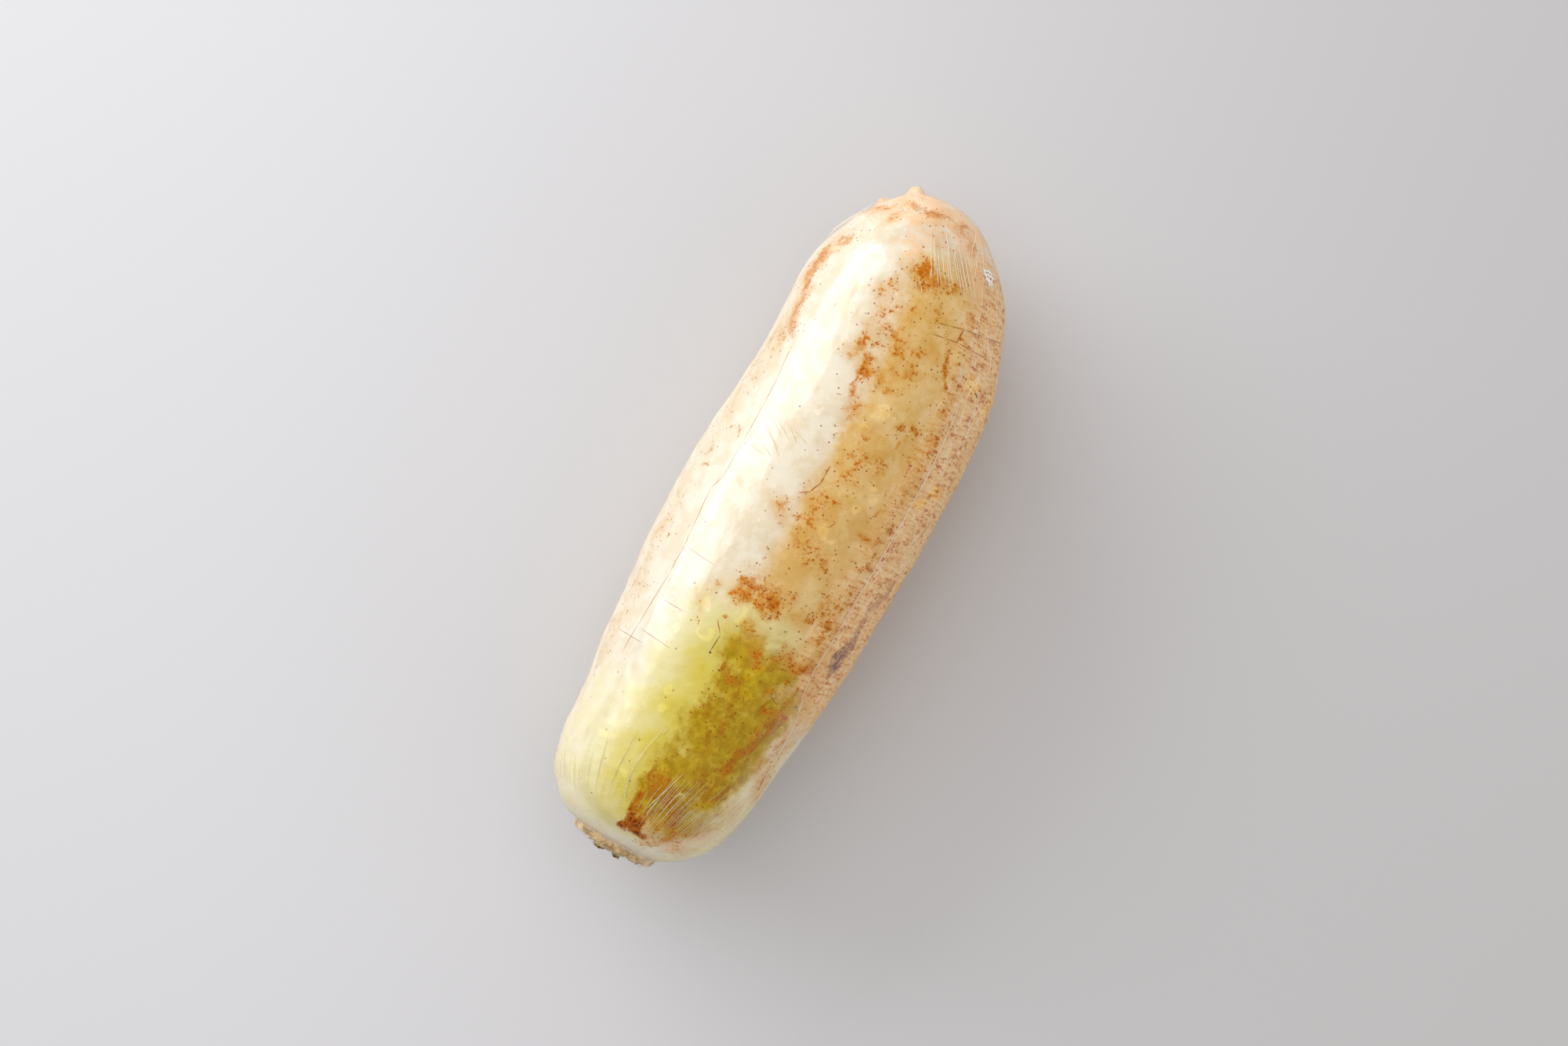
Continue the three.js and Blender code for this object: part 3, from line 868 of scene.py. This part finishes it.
def skin_material():
    n = Nodes("daikon_skin")
    here = n.place()
    broad = n.spread(here, 35.0)
    cloudy = n.spread(here, 130.0, 5.0, 0.62)
    grainy = n.spread(here, 750.0, 5.0, 0.7)
    grit = n.spread(here, 1900.0, 3.0, 0.6)
    crumbly = n.spread(here, 260.0, 9.0, 0.72)
    banded = n.spread(n.place(scale=(3.2, 0.7, 0.7)), 220.0, 7.0, 0.7)

    def where(name, low, high, most, *unevenness):
        """How much of a colour there is: an attribute made uneven by noises, in their shares."""
        uneven = 1.0
        for noise, share in unevenness:
            uneven = n.math("MULTIPLY_ADD", noise, share, uneven)
        return n.ramp(n.math("MULTIPLY", n.attribute(name), uneven), low, high, 0.0, most)

    cream = n.mix(n.ramp(cloudy, -0.12, 0.12), colour(240, 230, 206), colour(233, 217, 184))
    ochre = n.mix(n.ramp(cloudy, -0.15, 0.15), colour(240, 206, 136), colour(228, 184, 98))
    tan = n.mix(n.ramp(banded, -0.12, 0.14), colour(248, 211, 146), colour(236, 177, 98))
    olive_tan = n.mix(n.ramp(crumbly, -0.16, 0.16), colour(210, 177, 30), colour(178, 138, 2))
    flesh = n.mix(where("ochre", 0.05, 0.95, 0.9, (broad, 1.0), (cloudy, 1.0)), cream, ochre)
    flesh = n.mix(where("tan", 0.1, 0.9, 1.0, (cloudy, 1.0)), flesh, tan)
    streaky = n.spread(n.place(scale=(0.35, 2.2, 2.2)), 170.0, 6.0, 0.7)
    pale = n.math("MULTIPLY", n.attribute("tan"), n.ramp(streaky, 0.02, 0.14, 0.0, 0.6))
    flesh = n.mix(pale, flesh, colour(255, 232, 200))
    # The blush colour is the skin's peach tone at the tip and flanks. It is set a little lighter than that
    # tone as painted bounce light on the shaded side of the tip.
    flesh = n.mix(where("blush_with_painted_bounce", 0.3, 1.1, 0.8, (cloudy, 2.4), (banded, 2.0)), flesh, colour(253, 204, 150))
    flesh = n.mix(where("green", 0.12, 0.6, 0.75, (cloudy, 0.5)), flesh, colour(238, 230, 166))
    flesh = n.mix(where("green", 0.45, 1.2, 0.95, (cloudy, 0.4)), flesh, colour(222, 202, 46))
    umber = where("umber", 0.2, 0.8, 0.97, (cloudy, 0.9), (crumbly, 0.7), (banded, 0.5))
    flesh = n.mix(umber, flesh, olive_tan)

    flesh = n.mix(where("wash", 0.1, 1.0, 0.6, (cloudy, 0.9), (crumbly, 0.6)), flesh, colour(220, 164, 62))
    deep_wash = where("wash", 0.8, 1.4, 0.6, (cloudy, 2.6), (crumbly, 3.0), (grainy, 1.6))
    flesh = n.mix(deep_wash, flesh, colour(210, 128, 26))
    flesh = n.mix(where("olive", 0.3, 0.8, 0.93, (crumbly, 2.2), (grainy, 2.2)), flesh, colour(174, 116, 2))
    flesh = n.mix(where("crumb", 0.15, 0.9, 0.8, (cloudy, 1.6), (crumbly, 2.2)), flesh, colour(216, 142, 32))
    stains = n.math("MAXIMUM", n.attribute("crumb"), n.math("MULTIPLY", n.attribute("wash"), 0.8))
    stains = n.math("MAXIMUM", stains, n.math("MULTIPLY", n.attribute("tan"), 0.66))
    grains = n.math("ADD", n.math("MULTIPLY", grainy, 1.3), n.math("MULTIPLY", banded, 1.2))
    grains = n.math("ADD", grains, n.math("ADD", n.math("MULTIPLY", stains, 0.55), crumbly))
    stained = n.ramp(stains, 0.02, 0.2)
    orange = n.math("MULTIPLY", stained, n.ramp(grains, 0.45, 0.55, 0.0, 0.9))
    brown = n.math("MULTIPLY", stained, n.ramp(grains, 0.66, 0.76, 0.0, 0.95))
    flesh = n.mix(orange, flesh, colour(206, 117, 8))
    flesh = n.mix(brown, flesh, colour(150, 68, 2))
    flesh = n.mix(where("rust", 0.25, 0.9, 0.6, (banded, 2.0), (grainy, 2.4)), flesh, colour(186, 112, 66))
    flesh = n.mix(where("dark", 0.15, 0.6, 1.0, (crumbly, 2.6), (grainy, 2.6)), flesh, colour(194, 110, 4))
    flesh = n.mix(where("dark", 0.85, 1.15, 0.92, (crumbly, 4.0), (grainy, 4.8)), flesh, colour(116, 38, 0))
    flesh = n.mix(where("scuff", 0.25, 0.7, 0.7, (crumbly, 2.4), (grainy, 2.4)), flesh, colour(158, 98, 66))
    flesh = n.mix(where("scuff", 0.7, 1.0, 0.85, (crumbly, 2.4), (grainy, 3.2)), flesh, colour(100, 60, 52))

    # Specks: how many to a metre, their size, and how much likelier they are where the skin is stained.
    uneven = n.warped(here, 1800.0, 0.0007)
    for scale, size, likelier, shade in (
        (330.0, 0.12, 0.1, colour(80, 34, 10)),
        (620.0, 0.18, 0.3, colour(140, 62, 14)),
        (950.0, 0.36, 0.66, colour(166, 78, 14)),
    ):
        cells = n.put("TexVoronoi", Vector=uneven, Scale=scale)
        near = n.ramp(cells.outputs["Distance"], size * 1.2, size * 0.6)
        picked = n.put("SeparateColor", Color=cells.outputs["Color"]).outputs[0]
        chance = n.math("ADD", picked, n.math("MULTIPLY", stained, 0.06))
        chance = n.math("ADD", chance, n.math("MULTIPLY", n.attribute("crumb"), likelier))
        flesh = n.mix(n.math("MULTIPLY", near, n.ramp(chance, 0.985, 1.0, 0.0, 0.85)), flesh, shade)
    stub = n.mix(n.ramp(crumbly, -0.08, 0.08), colour(240, 204, 146), colour(160, 118, 56))
    flesh = n.mix(n.attribute("stub"), flesh, stub)
    cut = n.mix(n.ramp(grainy, -0.1, 0.1), colour(178, 160, 84), colour(104, 78, 30))
    flesh = n.mix(n.attribute("cut"), flesh, cut)

    height = n.math("ADD", cloudy, n.math("MULTIPLY", grainy, 0.4))
    bump = n.put("Bump", Strength=0.5, Distance=0.0008, Height=height)
    pits = n.put("Bump", Strength=0.3, Distance=0.0002, Height=grit, Normal=bump.outputs[0])
    shader = n.put(
        "BsdfPrincipled",
        Base_Color=flesh,
        Roughness=n.ramp(grainy, -0.2, 0.2, 0.45, 0.62),
        IOR=1.4,
        Normal=pits.outputs[0],
    )
    shader.inputs["Specular IOR Level"].default_value = 0.1
    shader.inputs["Subsurface Weight"].default_value = 0.15
    shader.inputs["Subsurface Radius"].default_value = (1.0, 0.5, 0.2)
    shader.inputs["Subsurface Scale"].default_value = 0.004
    return n.finish(shader.outputs[0])


def marks_material():
    n = Nodes("brown_marks")
    here = n.place()
    grainy = n.spread(here, 1500.0, 3.0, 0.6)
    deep = n.mix(n.ramp(grainy, -0.1, 0.1), colour(96, 38, 10), colour(140, 70, 22))
    strength = n.attribute("strength")
    brown = n.mix(n.ramp(strength, 0.8, 0.95), colour(196, 118, 40), deep)
    shader = n.put("BsdfPrincipled", Base_Color=brown, Roughness=0.6)
    clear = n.put("BsdfTransparent")
    broken = n.ramp(n.math("ADD", strength, n.math("MULTIPLY", grainy, 1.6)), 0.3, 0.6)
    return n.finish(n.blend(n.math("MULTIPLY", broken, strength), clear, shader).outputs[0])


def film_material(name, crinkled):
    n = Nodes(name)
    swell = n.noise(n.place(), 60.0, 3.0, 0.5)
    crinkle = n.noise(n.place(scale=(1.0, 1.8, 1.0)), 420.0, 5.0, 0.65, 0.8)
    amount = n.math("ADD", n.attribute("crinkle"), 0.12)
    relief = n.math("ADD", n.math("MULTIPLY", n.math("MULTIPLY", crinkle, amount), crinkled), swell)
    bump = n.put("Bump", Strength=0.3, Distance=0.0006, Height=relief)
    clear = n.put("BsdfTransparent", Color=(0.99, 0.99, 1.0, 1.0))
    sharp = n.put("BsdfGlossy", Color=(1.0, 1.0, 1.0, 1.0), Roughness=0.14, Normal=bump.outputs[0])
    soft = n.put("BsdfGlossy", Color=(1.0, 1.0, 1.0, 1.0), Roughness=0.22, Normal=bump.outputs[0])
    gloss = n.blend(0.5, sharp, soft)
    mirror = n.put("Fresnel", IOR=1.5, Normal=bump.outputs[0]).outputs[0]
    reflecting = n.ramp(mirror, 0.03, 0.7, 0.07, 0.15)
    # On the crease strips (the seam, the pleats, the creases and the glints), the strength attribute sets a
    # milky white diffuse. This is painted highlight, standing in for the light's reflection off their
    # ridges. On the bag, the haze attribute is the film's own milkiness at the collar.
    strength = n.attribute("strength")
    milk_and_highlight_tint = n.mix(n.ramp(strength, 0.3, 0.9), (1.0, 0.88, 0.55, 1.0), (1.0, 0.98, 0.96, 1.0))
    milky_and_painted_highlight = n.put("BsdfDiffuse", Color=milk_and_highlight_tint)
    haze = n.math("ADD", n.attribute("haze"), strength, clamp=True)
    surface = n.blend(reflecting, n.blend(haze, clear, milky_and_painted_highlight), gloss)
    return n.finish(surface.outputs[0])


def floor_material():
    n = Nodes("pale_floor")
    # The backdrop's colour is painted darker from one side of the picture to the other: painted shade for
    # the light falling off across the floor.
    sideways = n.put("SeparateXYZ", Vector=n.place(rotation=(0, 0, -LEAN))).outputs["Y"]
    shade = n.mix(n.ramp(sideways, -0.35, 0.25), (0.55, 0.545, 0.555, 1.0), (0.685, 0.685, 0.705, 1.0))
    shader = n.put("BsdfPrincipled", Base_Color=shade, Roughness=0.75, IOR=1.3)
    return n.finish(shader.outputs[0])


# ---- the film --------------------------------------------------------------------------------------


def lift_over_nubs(points):
    """Lifts the film over the nubs at the tip, like a tent on its poles."""
    for along, side, up, _, length in NUBS:
        foot, outwards = nub_axis(along, side, up)
        from_foot = points - foot
        out = from_foot @ outwards
        from_axis = np.linalg.norm(from_foot - out[..., None] * outwards, axis=-1)
        lift = length * np.maximum(0, 1 - from_axis / TENT_REACH) * (out > -TENT_REACH)
        points = points + lift[..., None] * outwards
    return points


def film_at(x, radius, angle):
    """The film's places: over the skin or the crown at the profile's radii, with its slackness."""
    under = stalk_height(radius * np.cos(angle), radius * np.sin(angle), -1.6, -0.5)
    clear = STUB_FACE - 0.3 - under * smoothstep(16.6 - radius, 0, 1.2)
    x = x - np.maximum(0, x - clear) * (1 - smoothstep(radius, 15, 17)) * (x < COLLAR_MEETS_BODY)
    places = point_at(x, radius, angle, 0.0)
    slack = 0.09 * ripple(places * [0.5, 1, 1], 16, 26) + 0.04 * ripple(places, 6, 27)
    slack = slack * smoothstep(x, 8, 30) * smoothstep(radius, 0.5, 4)
    return lift_over_nubs(point_at(x, radius + slack, angle, 0.12))


def film_profile():
    body = outset(body_curve, FILM_OUT)
    body = body[body[:, 0] > COLLAR_MEETS_BODY]
    curve = smooth_curve([*COLLAR, *body[::24]], 24)
    return np.vstack([curve[curve[:, 0] < body[0, 0]], body])


# Creases, each a line of along and round.
CREASES = [
    [(49, 16), (36.4, 15.8), (28.5, 15.8), (21.9, 14.9)],
    [(53.8, 6.2), (44.4, 8.6), (35.8, 9.5), (27.7, 8.3)],
    [(51.3, 6), (54.1, 4.9)],
    [(34.1, 9.5), (23.5, 6.8)],
    [(42.1, -10.9), (33.9, -8.5), (23.5, -4.3)],
    [(35, -14.7), (26.6, -11.9)],
    [(29.8, -8), (22.7, -5.7)],
    [(30.6, -24.4), (24.7, -22.4)],
    [(43, 27.2), (35.4, 25), (27.5, 23.7)],
    [(28.7, 55.3), (23.8, 48.5)],
    [(29, 50.8), (23.9, 45.8)],
    [(256.7, -4.2), (253.5, -4.8)],
    [(257.2, -7.5), (253.8, -8.3)],
    [(252.1, -15.5), (246.3, -15.3)],
    [(265.1, -40.8), (256.3, -28.7), (248.1, -26.4)],
    [(260.5, -37.5), (255.2, -33.3), (244.4, -28.5)],
    [(246.9, -24.8), (241.2, -21.5)],
    [(241.2, -4.8), (238.2, -5.8)],
    [(234.3, 1.3), (232.7, 0.4)],
    [(234.6, -0.4), (232.5, -1.7)],
    [(234.4, -3.3), (232.2, -4.3)],
    [(235.8, -6.9), (233.9, -7.8)],
    [(250.7, -36.3), (251.3, -43.2), (253.5, -55.8)],
    [(253.5, -55.8), (249.3, -41.8), (244.5, -36.2)],
    [(250.7, -36.3), (247.8, -36.9), (244.5, -36.2)],
    [(250.8, -39.5), (248.4, -39.9)],
    [(77.9, -44.1), (79.4, -44.7)],
    [(77.9, -44.1), (80.2, -39.5)],
    [(33.9, -66.9), (39.6, -63.1), (48.2, -56.5), (55.3, -52)],
    [(252.4, -47.2), (249.2, -38.5)],
    [(262.3, -38.4), (259.5, -38.7), (255.3, -39.7), (250.8, -37.8)],
    [(169.9, 28.5), (165.5, 21.7)],
    [(167, 30), (160.8, 20.8)],
    [(170.2, 26.1), (164.6, 17.1)],
    [(169.7, 20.2), (165.1, 14.7)],
    [(169.5, 19), (166.2, 10.9)],
    [(160, 26.6), (156.9, 20.1)],
    [(158.1, 31.5), (156.4, 22.8)],
    [(166.6, 27.8), (158, 17.7)],
]
# Folded corners of film by the seam at the tip; their white is a painted glint.
GLINTS = [
    [(250.6, -37), (251.2, -43), (251.0, -49.1)],
    [(249.4, -37.2), (250, -43), (249.7, -49.8)],
    [(247.8, -38.4), (248.6, -43), (247.1, -46.4)],
    [(252.4, -44.1), (249, -43), (245.6, -41.1)],
    [(251.6, -38), (248.6, -40.5), (246.6, -43.5)],
    [(251.8, -46.6), (249, -46), (246.4, -42.6)],
]
# How the pleats at both ends are set out: how far apart they are between two places round the bag,
# where they start and end along, and how they fan out or, where the fan is 0, how they slant.
PLEATS = [
    # from round, to round, spacing, start along, end along, fan, the fan's middle or the slant
    (-47, -6, 0.9, (15, 24), (30, 44), 0.011, 6),
    (-6, 34, 5.0, (18, 26), (28, 40), 0.011, 6),
    (34, 66, 2.4, (16, 20), (24, 32), 0.011, 6),
    (66, 140, 4.0, (14, 20), (26, 40), 0.0, 0),
    (-140, -47, 3.4, (14, 20), (26, 40), 0.0, 0),
    (-27, -1, 1.3, (236, 242), (248, 258), 0.0, 0.55),
    (-140, -60, 4.0, (236, 244), (250, 258), 0.0, 0.2),
    (60, 140, 4.0, (236, 244), (250, 258), 0.0, -0.2),
]


def pleats():
    """The pleats' paths, drawn once for all."""
    rng = np.random.default_rng(41)
    paths = []
    for low, high, spacing, starts, ends, fan, middle in PLEATS:
        for place in np.arange(low, high, spacing):
            place += rng.uniform(-0.3, 0.3) * spacing
            start, end = rng.uniform(*starts), rng.uniform(*ends)
            slope = fan * (place - middle) if fan else middle
            half = (end - start) / 2
            bow = rng.uniform(-0.5, 0.5)
            first = (start, place - slope * half)
            paths.append([first, (start + half, place + bow), (end, place + slope * half)])
    return paths


def build_creases(profile):
    def surface(x, lift, angle):
        return film_at(x, np.interp(x, profile[:, 0], profile[:, 1]) + lift, angle)

    seam = np.linspace(12, 262, 170)
    bead = 0.35 * np.sin(seam * 3.1) * smoothstep(seam, 226, 238)
    seam_round = (90 - line_at(SEAM_LINE, seam)) * ROUND_RADIUS * math.pi / 180
    # Each strip's last number is its strength. It sets how much painted highlight white the crease material
    # puts on it: some on the seam, pleats and creases, and full white on the glints.
    strips = [(list(zip(seam, seam_round + bead)), 0.36, 0.24, 0.6)]
    strips += [(path, 0.26, 0.16, 0.28 if path[0][0] < 100 else 0.55) for path in pleats()]
    strips += [(path, 0.32, 0.2, 0.5) for path in CREASES]
    strips += [(path, 0.9, 0.24, 1.0) for path in GLINTS]
    creases = strips_mesh("shrink_film_creases", surface, strips)
    return creases


# Where the film is finely crinkled: rows of marks().
CRINKLED = [
    (169, 42, 160, 36, 5, 1.0),
    (178, 33, 150, 30, 6, 0.6),
    (150, 45, 120, 34, 6, 0.8),
    (142, 26, 128, 22, 7, 0.9),
    (215, 32, 190, 30, 6, 0.5),
    (120, 30, 90, 24, 6, 0.5),
]


def build_film(profile):
    spacing = [(3, 0.8), (30, 1.5), (60, 2.6), (215, 2.6), (250, 1.2), (268, 0.8)]
    rows = respaced(profile, lambda x: np.interp(x, *zip(*spacing)))
    rows[-1, 1] = 0
    x, radius = (rows[:, i][:, None] for i in (0, 1))
    turn = np.arange(FILM_COLUMNS) * 2 * math.pi / FILM_COLUMNS
    angle = np.broadcast_to(turn[None], (len(rows), FILM_COLUMNS))
    points = film_at(x, radius, angle)
    film = tube_mesh("shrink_film_bag", points, False, True, angle)
    haze = np.broadcast_to(0.14 * (1 - smoothstep(x, 5, 11)), angle.shape)
    add_attribute(film, "haze", per_vertex(haze, False, True))
    add_attribute(film, "crinkle", per_vertex(marks(points, CRINKLED), False, True))
    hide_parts("shrink_film")
    return film


# ---- the stage -------------------------------------------------------------------------------------

# In metres, and the lens in millimetres of a 36 mm wide sensor.
CAMERA_PLACE = (0.0018, 0.0044, 1.245)
CAMERA_LENS = 75
FLOOR_HALF = 3


def area_light(name, place, target, size, power, tint=(1, 1, 1)):
    data = bpy.data.lights.new(name, "AREA")
    data.shape = "RECTANGLE"
    data.size, data.size_y = size
    data.energy = power
    data.color = tint
    light = bpy.data.objects.new(name, data)
    light.location = place
    light.rotation_euler = (Vector(target) - Vector(place)).to_track_quat("-Z", "Y").to_euler()
    bpy.context.scene.collection.objects.link(light)
    return light


def build_stage():
    scene = bpy.context.scene
    mesh = bpy.data.meshes.new("floor")
    corners = [(x * FLOOR_HALF, y * FLOOR_HALF, 0) for x, y in ((-1, -1), (1, -1), (1, 1), (-1, 1))]
    mesh.from_pydata(corners, [], [(0, 1, 2, 3)])
    floor = bpy.data.objects.new("floor", mesh)
    scene.collection.objects.link(floor)
    floor.data.materials.append(floor_material())

    right = Vector((math.sin(LEAN), -math.cos(LEAN), 0))
    up = Vector((math.cos(LEAN), math.sin(LEAN), 0))
    camera_data = bpy.data.cameras.new("camera")
    camera_data.lens = CAMERA_LENS
    camera_data.sensor_width = 36
    camera = bpy.data.objects.new("camera", camera_data)
    basis = Matrix((right, up, Vector((0, 0, 1)))).transposed()
    camera.matrix_world = Matrix.Translation(CAMERA_PLACE) @ basis.to_4x4()
    scene.collection.objects.link(camera)
    scene.camera = camera

    towards_light = up * 0.73 - right * 0.683
    key = towards_light * 1.36 + Vector((0, 0, 0.58))
    area_light("key_softbox", key, (0, 0, 0.05), (1.6, 0.95), 17.0, (0.96, 0.98, 1.0))
    fill = right * 1.3 - up * 0.5 + Vector((0, 0, 0.9))
    fill_light = area_light("fill_reflector", fill, (0, 0, 0.05), (1.6, 1.6), 5.2, (1.0, 0.88, 0.74))
    overhead = up * 0.8 - right * 0.25 + Vector((0, 0, 1.95))
    overhead_light = area_light("overhead_softbox", overhead, (0, 0, 0.05), (2.4, 2.4), 17.5)
    for light in (fill_light, overhead_light):
        light.visible_glossy = False

    # The room is pale, but what the film mirrors of it is dim.
    world = bpy.data.worlds.new("room")
    world.use_nodes = True
    tree = world.node_tree
    rays = tree.nodes.new("ShaderNodeLightPath")
    strength = tree.nodes.new("ShaderNodeMapRange")
    strength.inputs["To Min"].default_value = 0.52
    strength.inputs["To Max"].default_value = 0.08
    tree.links.new(rays.outputs["Is Glossy Ray"], strength.inputs["Value"])
    background = tree.nodes["Background"]
    background.inputs["Color"].default_value = (0.93, 0.91, 0.91, 1)
    tree.links.new(strength.outputs[0], background.inputs["Strength"])
    scene.world = world
    scene.view_settings.view_transform = "Standard"


root = build_root()
root.data.materials.append(skin_material())
skin_marks = build_marks()
skin_marks.data.materials.append(marks_material())
film_curve = film_profile()
film = build_film(film_curve)
film.data.materials.append(film_material("clear_shrink_film", 1.0))
creases = build_creases(film_curve)
creases.data.materials.append(film_material("film_crease", 0.0))
build_stage()
